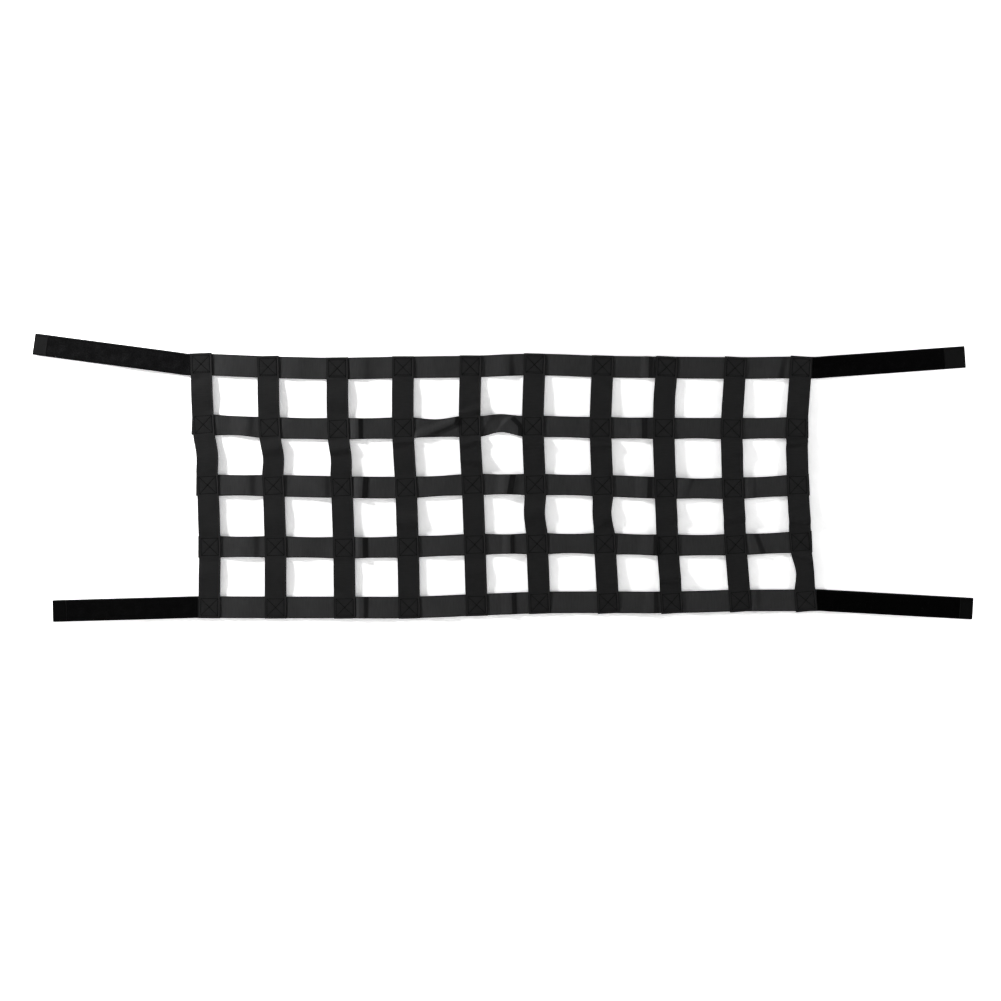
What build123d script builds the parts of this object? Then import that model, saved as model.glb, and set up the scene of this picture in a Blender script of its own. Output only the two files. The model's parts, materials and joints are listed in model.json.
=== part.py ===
from build123d import *

import math
import os

# Webbing net of flat straps with a hook-and-loop tail at each corner, hanging in a vertical plane.
# +X runs along the net, +Z is up and the front faces -Y. The origin is the centre of the net in
# the back plane of the horizontal straps. All sizes are in millimetres.

# Straps
web_width = 38.0
web_thick = 1.2
tape_width = 36.5
tape_thick = 1.0

# Layers, from the back plane towards the front (-Y)
row_back = 0.0
row_front = row_back - web_thick
column_front = row_front - web_thick
tape_front = row_front - tape_thick
hem_back = row_back + web_thick

# Vertical straps: where each crosses the top and the bottom horizontal strap
column_top_x = [-531, -414, -293, -178, -60, 52, 171, 283, 403, 518]
column_foot_x = [-518, -402, -281, -168, -50, 60, 180, 291, 411, 526]
hem_length = 36.0
hem_overhang = 2.8

# Horizontal straps: height of each at the left end, at the three folds and at the right end
row_heights = [
    [212, 206, 210, 207, 207],
    [106, 100, 105, 101, 102],
    [2, -2, 3, -2, 1],
    [-106, -107, -102, -102, -98],
    [-212, -212, -206, -203, -200],
]
row_overhang = 1.0

# Folds that part the net into four panels, and the room that each leaves between strap ends
fold_x = [-248, 8, 248]
fold_room = 7.0
panels = ["left", "mid_left", "mid_right", "right"]
first_column = [0, 3, 5, 7, 10]

# Tails: side (-1 left, +1 right), row, length from the net's edge, rise towards the tip in degrees,
# length of the hook patch at the tip
tails = {
    "upper_left": (-1, 0, 272, 7.6, 23),
    "upper_right": (1, 0, 264, 4.1, 36),
    "lower_left": (-1, 4, 250, -1.6, 23),
    "lower_right": (1, 4, 270, -3.2, 22),
}
tail_parts = 3
tail_room = 3.5
patch_margin = 1.5

# Box-and-cross stitch through each crossing
stitch_box = 30.0
thread_width = 1.0
thread_proud = 0.3


def between(a, b, share):
    """The value this share of the way from a to b."""
    return a + (b - a) * share


def column_x(column, z):
    """Where a vertical strap's middle stands at height z."""
    top = row_heights[0][0]
    return between(column_top_x[column], column_foot_x[column], (top - z) / (2 * top))


def row_z(row, x):
    """Height of a horizontal strap's middle at x, straight between the folds."""
    ends = [column_top_x[0], *fold_x, column_top_x[-1]]
    panel = sum(x > fold for fold in fold_x)
    share = (x - ends[panel]) / (ends[panel + 1] - ends[panel])
    return between(row_heights[row][panel], row_heights[row][panel + 1], share)


def row_end_x(row, side):
    """The outer end of a horizontal strap, just past the end vertical strap."""
    column = 0 if side < 0 else len(column_top_x) - 1
    height = row_heights[row][0 if side < 0 else -1]
    return column_x(column, height) + side * (web_width / 2 + row_overhang)


def flat_strap(start, end, width, front, back):
    """A straight flat strap between two (x, z) points of its middle line."""
    run = math.dist(start, end)
    rise = math.degrees(math.atan2(end[1] - start[1], end[0] - start[0]))
    middle = Pos((start[0] + end[0]) / 2, (front + back) / 2, (start[1] + end[1]) / 2)
    return middle * Rot(0, -rise, 0) * Box(run, back - front, width)


def vertical_strap(column):
    """A vertical strap: its front layer, and a hem folded round the outer strap at each end."""
    top = row_z(0, column_x(column, row_heights[0][0])) + web_width / 2 + hem_overhang
    foot = row_z(4, column_x(column, row_heights[4][0])) - web_width / 2 - hem_overhang
    length = top - foot
    body = Pos(0, (column_front + row_front) / 2, 0) * Box(web_width, web_thick, length)
    for side in (1, -1):
        end = side * length / 2
        fold = Box(web_width, hem_back - column_front, web_thick)
        hem = Box(web_width, web_thick, hem_length)
        body += Pos(0, (hem_back + column_front) / 2, end - side * web_thick / 2) * fold
        body += Pos(0, (hem_back + row_back) / 2, end - side * hem_length / 2) * hem
    lean = math.degrees(math.atan2(column_x(column, top) - column_x(column, foot), length))
    middle = (top + foot) / 2
    return Pos(column_x(column, middle), 0, middle) * Rot(0, lean, 0) * body


def horizontal_strap(row, panel):
    """The stretch of a horizontal strap that belongs to one panel."""
    ends = [row_end_x(row, -1), *fold_x, row_end_x(row, 1)]
    left = ends[panel] + (fold_room if panel > 0 else 0)
    right = ends[panel + 1] - (fold_room if panel < len(fold_x) else 0)
    start = (left, row_z(row, left))
    end = (right, row_z(row, right))
    return flat_strap(start, end, web_width, row_front, row_back)


def box_stitch(back):
    """A sewn square with a cross in it, through every layer of a crossing."""
    front = column_front - thread_proud
    depth = back - front
    half = stitch_box / 2
    reach = stitch_box * math.sqrt(2)
    seam = Box(stitch_box + thread_width, depth, thread_width)
    shape = Pos(0, 0, half) * seam + Pos(0, 0, -half) * seam
    upright = Box(thread_width, depth, stitch_box + thread_width)
    shape += Pos(half, 0, 0) * upright + Pos(-half, 0, 0) * upright
    for turn in (45, -45):
        shape += Rot(0, turn, 0) * Box(reach, depth, thread_width)
    return Pos(0, (front + back) / 2, 0) * shape


def panel_stitches(panel):
    """The stitches of every crossing in one panel, as separate solids."""
    found = []
    for row in range(len(row_heights)):
        outer = row in (0, len(row_heights) - 1)
        for column in range(first_column[panel], first_column[panel + 1]):
            x = column_x(column, row_heights[row][panel])
            stitch = box_stitch(hem_back if outer else row_back)
            found.append(Pos(x, 0, row_z(row, x)) * stitch)
    return found


def tail_point(name, distance):
    """A point (x, z) on a tail's middle line, at a distance from its root fold."""
    side, row, _, rise, _ = tails[name]
    root_x = row_end_x(row, side) + side * tail_room
    root_z = row_z(row, root_x)
    along = math.radians(rise)
    return (root_x + side * distance * math.cos(along), root_z + distance * math.sin(along))


def tail_stretch(name, start, end, width, front, back):
    """A flat piece of a tail between two distances from its root fold."""
    return flat_strap(tail_point(name, start), tail_point(name, end), width, front, back)


def tail_pieces(name):
    """A tail's webbing in three parts, its loop tape, and the tape ends and hook patch at its tip."""
    length = tails[name][2]
    patch = tails[name][4]
    part = length / tail_parts
    pieces = {}
    for number in range(1, tail_parts + 1):
        start = (number - 1) * part + tail_room
        end = number * part - (tail_room if number < tail_parts else 0)
        webbing = tail_stretch(name, start, end, web_width, row_front, row_back)
        pieces[f"{name}_tail_webbing_{number}"] = [webbing]
        if number < tail_parts:
            tape = tail_stretch(name, start, end, tape_width, tape_front, row_front)
            pieces[f"{name}_loop_tape_{number}"] = [tape]
    tip = (tail_parts - 1) * part + tail_room
    patch_start = length - patch
    loop_end = tail_stretch(name, tip, patch_start - patch_margin, tape_width, tape_front, row_front)
    hook = tail_stretch(name, patch_start, length - patch_margin, tape_width, tape_front, row_front)
    pieces[f"{name}_tip_tapes"] = [loop_end, hook]
    return pieces


def all_pieces():
    """Every node's name with its solids."""
    pieces = {}
    for column in range(len(column_top_x)):
        pieces[f"vertical_strap_{column + 1}"] = [vertical_strap(column)]
    for row in range(len(row_heights)):
        for panel, panel_name in enumerate(panels):
            pieces[f"horizontal_strap_{row + 1}_{panel_name}"] = [horizontal_strap(row, panel)]
    for panel, panel_name in enumerate(panels):
        pieces[f"box_stitches_{panel_name}"] = panel_stitches(panel)
    for name in tails:
        pieces.update(tail_pieces(name))
    return pieces


os.makedirs("parts", exist_ok=True)
for node, shapes in all_pieces().items():
    solids = [solid for shape in shapes for solid in shape.solids()]
    model = solids[0] if len(solids) == 1 else Compound(children=solids)
    export_step(model, f"parts/{node}.step")
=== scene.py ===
"""Looks of a webbing cargo net: woven straps sewn where they cross, with hook-and-loop tails."""

import json
import math
from collections import namedtuple

import bpy
import numpy as np
from bpy.props import FloatProperty, FloatVectorProperty, IntProperty, PointerProperty
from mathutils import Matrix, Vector


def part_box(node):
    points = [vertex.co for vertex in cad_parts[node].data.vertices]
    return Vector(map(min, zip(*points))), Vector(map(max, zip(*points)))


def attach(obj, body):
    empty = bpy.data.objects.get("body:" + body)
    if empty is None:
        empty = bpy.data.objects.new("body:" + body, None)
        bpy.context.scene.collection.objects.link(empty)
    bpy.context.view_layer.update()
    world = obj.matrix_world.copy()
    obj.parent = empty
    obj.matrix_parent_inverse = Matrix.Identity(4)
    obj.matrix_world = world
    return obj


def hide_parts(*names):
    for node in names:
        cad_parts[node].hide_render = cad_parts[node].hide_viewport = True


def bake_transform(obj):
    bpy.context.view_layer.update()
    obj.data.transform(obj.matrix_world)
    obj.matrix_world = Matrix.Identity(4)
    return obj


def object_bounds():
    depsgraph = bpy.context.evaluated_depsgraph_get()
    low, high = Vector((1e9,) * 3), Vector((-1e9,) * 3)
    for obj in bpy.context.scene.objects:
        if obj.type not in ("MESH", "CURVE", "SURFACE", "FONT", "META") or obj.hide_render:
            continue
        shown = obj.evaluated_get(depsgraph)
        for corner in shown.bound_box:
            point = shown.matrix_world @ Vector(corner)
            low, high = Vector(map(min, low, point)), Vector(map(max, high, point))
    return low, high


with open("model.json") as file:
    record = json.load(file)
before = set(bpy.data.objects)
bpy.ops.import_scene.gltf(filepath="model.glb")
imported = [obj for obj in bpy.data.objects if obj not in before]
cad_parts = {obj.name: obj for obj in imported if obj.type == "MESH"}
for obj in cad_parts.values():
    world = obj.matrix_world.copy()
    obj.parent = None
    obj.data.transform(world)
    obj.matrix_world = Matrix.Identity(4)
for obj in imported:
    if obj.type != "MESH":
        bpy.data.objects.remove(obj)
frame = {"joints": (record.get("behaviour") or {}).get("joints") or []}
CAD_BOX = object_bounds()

bl_info = {
    "name": "Webbing cargo net",
    "version": (1, 0, 0),
    "blender": (4, 5, 0),
    "location": "View3D > Sidebar > Net",
    "description": "Builds the straps, stitches and hook-and-loop tails of a webbing cargo net",
    "category": "Mesh",
}

MM = 0.001

# ---------------------------------------------------------------- how the net hangs

ROWS = 5
COLUMNS = 10
PANELS = ("left", "mid_left", "mid_right", "right")
FIRST_COLUMN = (0, 3, 5, 7, 10)

# Height of each horizontal strap where it passes behind each vertical strap, in millimetres
ROW_LAY = (
    (213.0, 208.0, 205.5, 207.5, 209.0, 212.5, 209.0, 207.5, 206.5, 207.5),
    (107.5, 102.0, 100.0, 101.5, 104.0, 104.5, 102.0, 101.0, 100.5, 102.0),
    (1.5, 0.5, -2.0, -2.5, 2.5, 2.5, 0.5, -3.5, -4.0, 1.5),
    (-106.5, -106.5, -108.0, -106.5, -102.5, -101.0, -101.0, -103.5, -102.5, -98.0),
    (-212.0, -212.5, -212.5, -212.5, -208.0, -204.0, -203.5, -203.5, -200.5, -200.0),
)

# How far the first and the last vertical strap stray from straight at the three inner rows
FIRST_BOW = (0.5, 4.6, 4.6)
LAST_BOW = (-9.4, -9.8, -7.1)

# Packing creases across the horizontal straps: row, x, depth towards the front, reach and slant
ROW_CREASES = (
    (1, -454, 1.6, 13, 0.0), (2, -450, 1.6, 13, 0.0), (3, -443, 1.6, 13, 0.0),
    (2, -320, 1.4, 12, 0.0), (0, -250, 0.8, 12, 0.0), (1, -258, 2.4, 7, 0.0), (2, -251, 4.0, 9, 0.05),
    (3, -251, 3.4, 9, 0.0), (4, -250, 2.2, 9, 0.0), (1, -112, 3.4, 7, 2.2), (0, 3, 1.2, 11, 0.0),
    (1, -14, -3.4, 8, 0.8), (1, 16, 3.4, 9, -1.2), (2, 4, 4.0, 9, 0.15), (3, 8, 2.6, 6, 0.0),
    (4, 10, 2.6, 8, 0.0), (0, 250, 3.0, 6, 0.0), (1, 238, 3.2, 8, 0.0), (2, 246, 2.8, 9, 0.0),
    (3, 258, 3.6, 12, 0.0), (4, 258, 2.6, 9, 0.0), (2, 312, 1.8, 12, 0.3), (0, 476, 1.8, 12, 0.2),
    (2, 428, 1.8, 11, 0.0), (3, 436, 2.8, 11, -0.3), (4, 434, 2.0, 13, 0.0),
)

# Packing creases across the vertical straps: column, z, depth towards the front, reach and slant
COLUMN_CREASES = (
    (0, 176, 0.5, 6, 0.5), (1, 66, 2.4, 11, 0.1), (2, 64, 3.2, 8, 0.0), (3, 80, 2.8, 8, 0.2),
    (3, -63, 2.4, 9, 0.0), (4, 126, 2.6, 6, 0.4), (4, 76, 1.6, 6, 0.3), (4, 45, 3.8, 7, -0.1),
    (5, 74, 2.2, 7, 0.0), (5, -50, 1.6, 12, 0.4), (6, 71, 2.8, 7, 0.0), (6, -60, 2.0, 12, 0.4),
    (7, -161, 3.2, 8, 0.0), (7, -56, 1.6, 9, 0.0), (8, -56, 2.8, 8, 0.0), (8, 60, 1.4, 11, 0.0),
    (9, 78, 3.8, 7, 0.1), (9, -60, 2.8, 7, 0.0), (9, -122, 2.2, 6, -0.5),
)

# How a free stretch lies off its smooth line: column, gap below a row, sideways, share of width
COLUMN_SWAYS = (
    (0, 1, 3.4, 1.0), (1, 1, 3.8, 0.97), (2, 1, 2.6, 0.97), (5, 2, -3.0, 0.97),
    (6, 2, -3.0, 0.87), (7, 0, -1.0, 1.0), (9, 3, 3.0, 0.84),
)
ROW_SWAYS = (
    (1, 0, 1.0, 0.88), (1, 1, 0.0, 0.96), (1, 2, 0.0, 0.95), (1, 3, -1.6, 0.82), (1, 4, 5.4, 0.83),
    (1, 5, 0.0, 0.96), (1, 6, 0.0, 0.96), (1, 7, 0.6, 0.94), (1, 8, 0.0, 0.94), (2, 0, 0.0, 0.94),
    (2, 3, 0.0, 0.93), (2, 4, 0.0, 0.92), (2, 5, 0.0, 0.94), (2, 7, 0.0, 0.92), (2, 8, 0.0, 0.94),
    (3, 0, 0.0, 0.94), (3, 1, 0.0, 0.94), (3, 2, 0.0, 0.95), (3, 3, 0.0, 0.95), (3, 4, 0.0, 0.9),
    (3, 5, 0.0, 0.89), (3, 6, 0.0, 0.94), (3, 7, 0.0, 0.94), (3, 8, 0.0, 0.94),
)

# How far the straps bow to the front and how far they may stand back, and the curled selvedge:
# its height, where it starts from the middle line and over what width it rises
COLUMN_BULGE = 2.4 * MM
ROW_BULGE = 1.5 * MM
MOST_BACK = 1.9 * MM
SELVEDGE_CURL = 1.2 * MM
CURL_FROM = 15 * MM
CURL_OVER = 4 * MM

# Creases: height for a depth of 1, rounding of the crest, and the sides' lengths in reaches
CREASE_DEPTH = 1.65
CREST = 1.2 * MM
STEEP_SIDE = 1.3
GENTLE_SIDE = 2.3

# How far the net stands off its plane, and the height above and below its middle where that ends
STAND_OFF = 1.8 * MM
STAND_HEIGHT = 0.19

# Distances from a crossing: where a strap lies flat, over what it comes free, where it starts to
# bow out and where it starts to sway sideways
FLAT_WITHIN = 15 * MM
FREE_OVER = 11 * MM
BULGE_FROM = 17 * MM
SWAY_FROM = 12 * MM

# Half the webbing's width, which twists are measured over
HALF_WEB = 19 * MM

# Length of the rear hems, how far an inner row passes its last crossing's strap, and the step
# that slopes are taken over
HEM = 34 * MM
ROW_PAST = 1.2 * MM
SLOPE_STEP = 0.5 * MM

# Reach of the fine mesh round a crossing
FINE_REACH = 19 * MM

# Tails: which side and row, length from the net's edge and hook patch length in millimetres, and
# how much the patch and the pile are lightened or darkened: painted light for how the light falls on each
# tail
Tail = namedtuple("Tail", "side row length patch patch_paleness pile_paleness")
TAILS = {
    "upper_left": Tail(-1, 0, 272, 23, 0.45, 6.0),
    "upper_right": Tail(1, 0, 264, 36, 0.3, 1.2),
    "lower_left": Tail(-1, 4, 250, 23, 0.12, 2.0),
    "lower_right": Tail(1, 4, 270, 22, 0.18, 0.45),
}
TAIL_LENGTHS = (1, 2, 3)

# Along a tail: where the tape starts, the gap before the patch, and the bare web at the tip
TAPE_START = -3.7 * MM
PATCH_GAP = 1.2 * MM
TIP_MARGIN = 0.8 * MM

# How deep the crossings' thread and the tails' thread lie in the cloth
BOX_SINK = 0.14 * MM
SEAM_SINK = 0.05 * MM

# Sideways parts of the normal that the painted shade on cloth leaning to the right starts and ends at
SHADE_LEAN = (0.1, 0.38)

# Strength of the white studio as the camera sees it, and as it lights the net
BACKDROP = 1.06
ROOM = 0.21

# The wall: its glow behind the net, what it gains beyond the net, how bright its lit share is
# seen, the half width and half height that the gain starts from, how many of them it takes to be
# whole, and the wall's distance from the net
WALL_GLOW = 0.27
WALL_GAIN = 0.8
WALL_LIT = 1.25
GAIN_FROM = (0.62, 0.26)
GAIN_WHOLE = 2.2
WALL_GAP = 1.6 * MM
WALL_HALF = 4

FLOOR_GLOW = 0.9
FLOOR_DROP = 0.75
FLOOR_HALF = 30

# Soft lights: name, place, the point that it faces, power in watts, side in metres
LIGHTS = (
    ("key", (-1.9, -0.85, 1.0), (0, 0, 0), 49, 0.3),
    ("fill", (1.7, -0.62, 0.35), (0.5, 0, 0), 8, 0.25),
    ("rear", (1.8, 3.4, 2.2), (0, 0, 0), 70, 1.2),
)
CAMERA_PLACE = (-0.0079, -3.65, -0.0254)
CAMERA_LENS = 75
VIEW_GAMMA = 0.8


# ---------------------------------------------------------------- sizes and colours

def metres(name, description, default):
    """A length property in metres."""
    return FloatProperty(name=name, description=description, default=default, unit="LENGTH")


def tint(name, description, colour):
    """A colour property, solid and in linear values."""
    return FloatVectorProperty(name=name, description=description, subtype="COLOR", size=4,
                               default=(*colour, 1))


class NetSizes(bpy.types.PropertyGroup):
    """Sizes that a maker of the net would change."""

    width: metres("Strap width", "Width of the webbing", 38 * MM)
    thick: metres("Strap thickness", "Thickness of the webbing", 1.2 * MM)
    fine: metres("Fine step", "Mesh step round a crossing", 1.0 * MM)
    coarse: metres("Coarse step", "Mesh step between crossings", 2.6 * MM)
    box: metres("Stitched box", "Side of the sewn square", 30 * MM)
    thread: metres("Thread", "Diameter of the sewing thread", 0.8 * MM)
    stitch: metres("Stitch pitch", "Distance from stitch to stitch", 3.1 * MM)
    pucker: metres("Pucker", "How deep the seams pull into the webbing", 0.3 * MM)
    wave: metres("Slack", "How far the straps wander off their plane", 0.7 * MM)
    fold_reach: metres("Fold reach", "Webbing that bends at a fold, each side", 11 * MM)
    tape_width: metres("Tape width", "Width of the hook-and-loop tape", 36.3 * MM)
    tape_thick: metres("Tape thickness", "Thickness of the loop tape", 1.0 * MM)
    across_steps: IntProperty(name="Steps across", description="Mesh steps across a strap",
                              default=34, min=8, max=80)


class NetColours(bpy.types.PropertyGroup):
    """Colours of the net's cloths, thread and surroundings."""

    upright: tint("Vertical webbing", "Dyed yarn of the front straps", (0.0178, 0.0178, 0.0182))
    # Painted highlight: the horizontal webbing's colour is about twice the vertical webbing's, for the
    # sheen its ribs catch from the key light at the left
    level: tint("Horizontal webbing", "Dyed yarn of the rear straps", (0.0380, 0.0380, 0.0386))
    pile: tint("Loop pile", "Napped face of the loop tape", (0.0021, 0.0021, 0.0022))
    hooks: tint("Hook tape", "Moulded hooks of the end patch", (0.037, 0.037, 0.038))
    thread: tint("Thread", "Bonded sewing thread", (0.0020, 0.0020, 0.0020))
    studio: tint("Studio", "Pale floor and wall", (0.92, 0.92, 0.92))


# ---------------------------------------------------------------- numbers that the frame gives

def node_box(name):
    """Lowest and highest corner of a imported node, as arrays in metres."""
    low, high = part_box(name)
    return np.array(low), np.array(high)


def sizes():
    """The size properties of this scene."""
    return bpy.context.scene.net_sizes


def colours():
    """The colour properties of this scene."""
    return bpy.context.scene.net_colours


def joint_place(name):
    """The rest position of a joint's axis, in metres."""
    found = [joint for joint in frame["joints"] if joint["name"] == name]
    return np.array(found[0]["pos_m"], float)


def smooth_through(knots, values, at):
    """A smooth line through points: Hermite cubics with central slopes, straight past both ends."""
    knots = np.asarray(knots, float)
    values = np.asarray(values, float)
    slopes = np.gradient(values, knots)
    spot = np.clip(np.searchsorted(knots, at) - 1, 0, len(knots) - 2)
    run = knots[spot + 1] - knots[spot]
    t = np.clip((at - knots[spot]) / run, 0, 1)
    flat = (2 * t**3 - 3 * t**2 + 1) * values[spot] + (3 * t**2 - 2 * t**3) * values[spot + 1]
    lean = run * ((t**3 - 2 * t**2 + t) * slopes[spot] + (t**3 - t**2) * slopes[spot + 1])
    before = np.minimum(at - knots[0], 0) * slopes[0]
    after = np.maximum(at - knots[-1], 0) * slopes[-1]
    return flat + lean + before + after


def of_strap(table, number):
    """The entries of a table that belong to one strap, without its number."""
    return [entry[1:] for entry in table if entry[0] == number]


def crossings():
    """Where the straps cross: x and z arrays of rows by columns, in metres."""
    half = sizes().width / 2
    z = np.array(ROW_LAY) * MM
    boxes = [node_box(f"vertical_strap_{column + 1}") for column in range(COLUMNS)]
    top = np.array([low[0] for low, _ in boxes]) + half
    foot = np.array([high[0] for _, high in boxes]) - half
    share = np.linspace(0, 1, ROWS)[:, None]
    x = top + (foot - top) * share
    side = np.linspace(0, 1, COLUMNS)[None, :]
    bow = np.array(FIRST_BOW)[:, None] * (1 - side) + np.array(LAST_BOW)[:, None] * side
    x[1:4] += bow * MM
    return x, z


# ---------------------------------------------------------------- surfaces

def ease(t):
    """A smooth step from 0 to 1: three times the square less twice the cube."""
    t = np.clip(t, 0, 1)
    return t * t * (3 - 2 * t)


def unit(vectors):
    """Rows of vectors, each divided by its length."""
    return vectors / np.linalg.norm(vectors, axis=1, keepdims=True)


def tube_faces(count, ring):
    """The quads of a tube with a number of sections of so many points, and its end polygons."""
    index = np.arange(count * ring).reshape(count, ring)
    ahead = np.roll(index, -1, axis=1)
    faces = np.stack([index[:-1], index[1:], ahead[1:], ahead[:-1]], axis=-1).reshape(-1, 4)
    return faces, [index[0], index[-1][::-1]]


def make_mesh(name, points, faces, caps, uv, material):
    """A mesh object from arrays: points, quads, end polygons and one UV pair for each point."""
    mesh = bpy.data.meshes.new(name)
    mesh.from_pydata(points.tolist(), [], faces.tolist() + [list(map(int, cap)) for cap in caps])
    corner = np.zeros(len(mesh.loops), np.int32)
    mesh.loops.foreach_get("vertex_index", corner)
    layer = mesh.uv_layers.new(name="cloth")
    layer.uv.foreach_set("vector", uv[corner].astype(np.float32).ravel())
    mesh.polygons.foreach_set("use_smooth", np.ones(len(mesh.polygons), bool))
    mesh.set_sharp_from_angle(angle=math.radians(55))
    mesh.materials.append(material)
    mesh.update()
    obj = bpy.data.objects.new(name, mesh)
    bpy.context.scene.collection.objects.link(obj)
    return obj


def flat_section(width, thick, steps):
    """The outline of a strap's section, as (w, h): flat faces with evenly spaced points, joined
    by half-round selvedges, and a fine groove just inside each selvedge on both faces."""
    edge = thick / 2
    face = np.linspace(-width / 2 + edge, width / 2 - edge, steps)
    groove = 0.16 * MM * np.exp(-(((np.abs(face) - (width / 2 - 3.4 * MM)) / (0.7 * MM)) ** 2))
    turn = np.linspace(math.pi / 2, -math.pi / 2, 5)[1:-1]
    right_w = width / 2 - edge + edge * np.cos(turn)
    right_h = edge * np.sin(turn)
    w = np.concatenate([face, right_w, face[::-1], -right_w[::-1]])
    h = np.concatenate([edge - groove, right_h, -(edge - groove)[::-1], right_h[::-1]])
    return w, h


def ribbon(name, centre, across, section, material, lift=0.0, pinch=0.0, start=0.0, share=1.0):
    """A strap: its section carried along a centre line. A point is the centre line's point, plus w
    along the strap's width, plus h and the lift along the outward direction, which is the cross
    product of the running direction and the width. The pinch thins it on both faces, the share
    narrows it, and its cloth coordinate begins at start."""
    along = np.gradient(centre, axis=0)
    across = unit(across)
    narrow = np.reshape(share * np.ones(len(centre)), (-1, 1))
    out = unit(np.cross(along, across))
    w, h = section
    height = h[None, :] + lift - np.sign(h)[None, :] * pinch
    points = (
        centre[:, None, :]
        + w[None, :, None] * (across * narrow)[:, None, :]
        + (height * np.ones((len(centre), 1)))[:, :, None] * out[:, None, :]
    )
    faces, caps = tube_faces(len(centre), len(w))
    step = np.linalg.norm(np.diff(centre, axis=0), axis=1)
    run = start + np.concatenate([[0], np.cumsum(step)])
    uv = np.stack([np.repeat(run, len(w)), np.tile(w, len(centre))], axis=-1)
    return make_mesh(name, points.reshape(-1, 3), faces, caps, uv, material)


def stations(low, high, dense_at, reach):
    """Places along a strap from low to high: coarse steps, with fine ones round the dense places."""
    size = sizes()
    plain = np.linspace(low, high, max(2, int((high - low) / size.coarse)))
    groups = [plain]
    for place in dense_at:
        near = np.arange(place - reach, place + reach, size.fine)
        groups.append(near[(near > low) & (near < high)])
        groups[0] = groups[0][np.abs(groups[0] - place) > reach]
    found = np.unique(np.concatenate(groups + [[low, high]]))
    keep = np.concatenate([[True], np.diff(found) > size.fine * 0.3])
    keep[-1] = True
    return found[keep]


def seam_distance(a, b, half):
    """Distance from a point (a, b) to the lines of a sewn square of half side half with its cross."""
    outer = np.maximum(np.abs(a), np.abs(b))
    square = np.abs(outer - half)
    cross = np.where(outer < half, np.abs(np.abs(a) - np.abs(b)) / math.sqrt(2), 1.0)
    return np.minimum(square, cross), outer < half


def pucker_of(places, w, centres):
    """How much the seams thin the strap at each station and section point: a narrow dip along
    the sewn lines, and a slight swelling in the fields between them."""
    size = sizes()
    total = np.zeros((len(places), len(w)))
    for centre in centres:
        distance, inside = seam_distance(places[:, None] - centre, w[None, :], size.box / 2)
        outline = np.maximum(np.abs(places[:, None] - centre), np.abs(w[None, :])) > size.box / 2 - 2 * MM
        dip = np.exp(-((distance / (0.9 * MM)) ** 2)) * np.where(outline, 0.55, 1.0)
        swell = np.where(inside, 1 - np.exp(-((distance / (3.5 * MM)) ** 2)), 0) * 0.35
        near = np.abs(places - centre)[:, None] < size.box
        total += np.where(near, dip - swell, 0)
    return total * size.pucker


def sway_of(places, knots, sways):
    """How far a strap's free stretches lie off their smooth line, and their share of the full
    width: a squared sine between the crossings that each stretch starts and ends at."""
    shift = np.zeros(len(places))
    share = np.ones(len(places))
    for gap, aside, width in sways:
        low, high = sorted((knots[gap], knots[gap + 1]))
        t = np.clip((places - low - SWAY_FROM) / (high - low - 2 * SWAY_FROM), 0, 1)
        shape = np.sin(math.pi * t) ** 2
        shift += aside * MM * shape
        share -= (1 - width) * np.sqrt(shape)
    return shift, share


def stand_off(z):
    """How far the net stands off its plane at a height: nothing at its top and foot, and most in
    the middle."""
    return STAND_OFF * np.clip(1 - (z / STAND_HEIGHT) ** 2, 0, 1) ** 1.5


def slack_window(places, centres):
    """0 where a strap is sewn down and 1 in the free middle between crossings, smoothly."""
    gap = np.min(np.abs(places[:, None] - np.array(centres)[None, :]), axis=1)
    return ease((gap - FLAT_WITHIN) / FREE_OVER)


def bulge_of(places, centres, most, rng):
    """How far each free stretch between two crossings bows to the front: a squared half sine of
    its own height, leaning towards the stretch's lower or right end."""
    edges = np.sort(np.array(centres))
    lift = np.zeros(len(places))
    for low, high in zip(edges[:-1] + BULGE_FROM, edges[1:] - BULGE_FROM):
        t = np.clip((places - low) / (high - low), 0, 1)
        lift += rng.uniform(0.25, 1.0) * most * np.sin(math.pi * t ** rng.uniform(0.7, 1.1)) ** 2
    return lift


def lay_of(places, w, centres, creases, seed, most, steep):
    """How far the strap stands off its plane at each station and section point: slow waves and
    a little twist, from sines of seeded phase, plus a bow of each free stretch and each packing
    crease as a rounded ridge that falls off faster on its steep side, 1 ahead or -1 behind.
    Behind the plane the lift levels off, as a hyperbolic tangent, before it meets the wall."""
    rng = np.random.default_rng(seed)
    lift = np.zeros((len(places), len(w))) + bulge_of(places, centres, most, rng)[:, None]
    for length in (0.155, 0.093, 0.061):
        phase, twist = rng.uniform(0, 2 * math.pi, 2)
        wave = np.sin(places / length * 2 * math.pi + phase)
        roll = np.sin(places / length * 2 * math.pi + twist)
        lift += sizes().wave * (wave[:, None] * 0.6 + roll[:, None] * (w / HALF_WEB)[None, :] * 0.5)
    for at, depth, reach, slant in creases:
        off = (places[:, None] - at * MM - slant * w[None, :]) / math.hypot(1, slant)
        side = np.where(off * steep > 0, STEEP_SIDE, GENTLE_SIDE) * reach * MM
        away = np.sqrt(off**2 + CREST**2) - CREST
        lift += depth * CREASE_DEPTH * MM * ease(1 - away / side)
    lift = lift * slack_window(places, centres)[:, None]
    return np.where(lift < 0, MOST_BACK * np.tanh(lift / MOST_BACK), lift)


# ---------------------------------------------------------------- node groups and materials

def join(tree, start, end):
    """Links one socket to another."""
    tree.links.new(start, end)


def feed(tree, socket, value):
    """Gives an input socket a value, or links another socket to it."""
    if isinstance(value, bpy.types.NodeSocket):
        join(tree, value, socket)
    else:
        socket.default_value = value


def maths(tree, operation, first, second=None):
    """A maths node; each value is a number or a socket. Returns its result."""
    node = tree.nodes.new("ShaderNodeMath")
    node.operation = operation
    for socket, value in zip(node.inputs, (first, second)):
        if value is not None:
            feed(tree, socket, value)
    return node.outputs[0]


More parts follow.
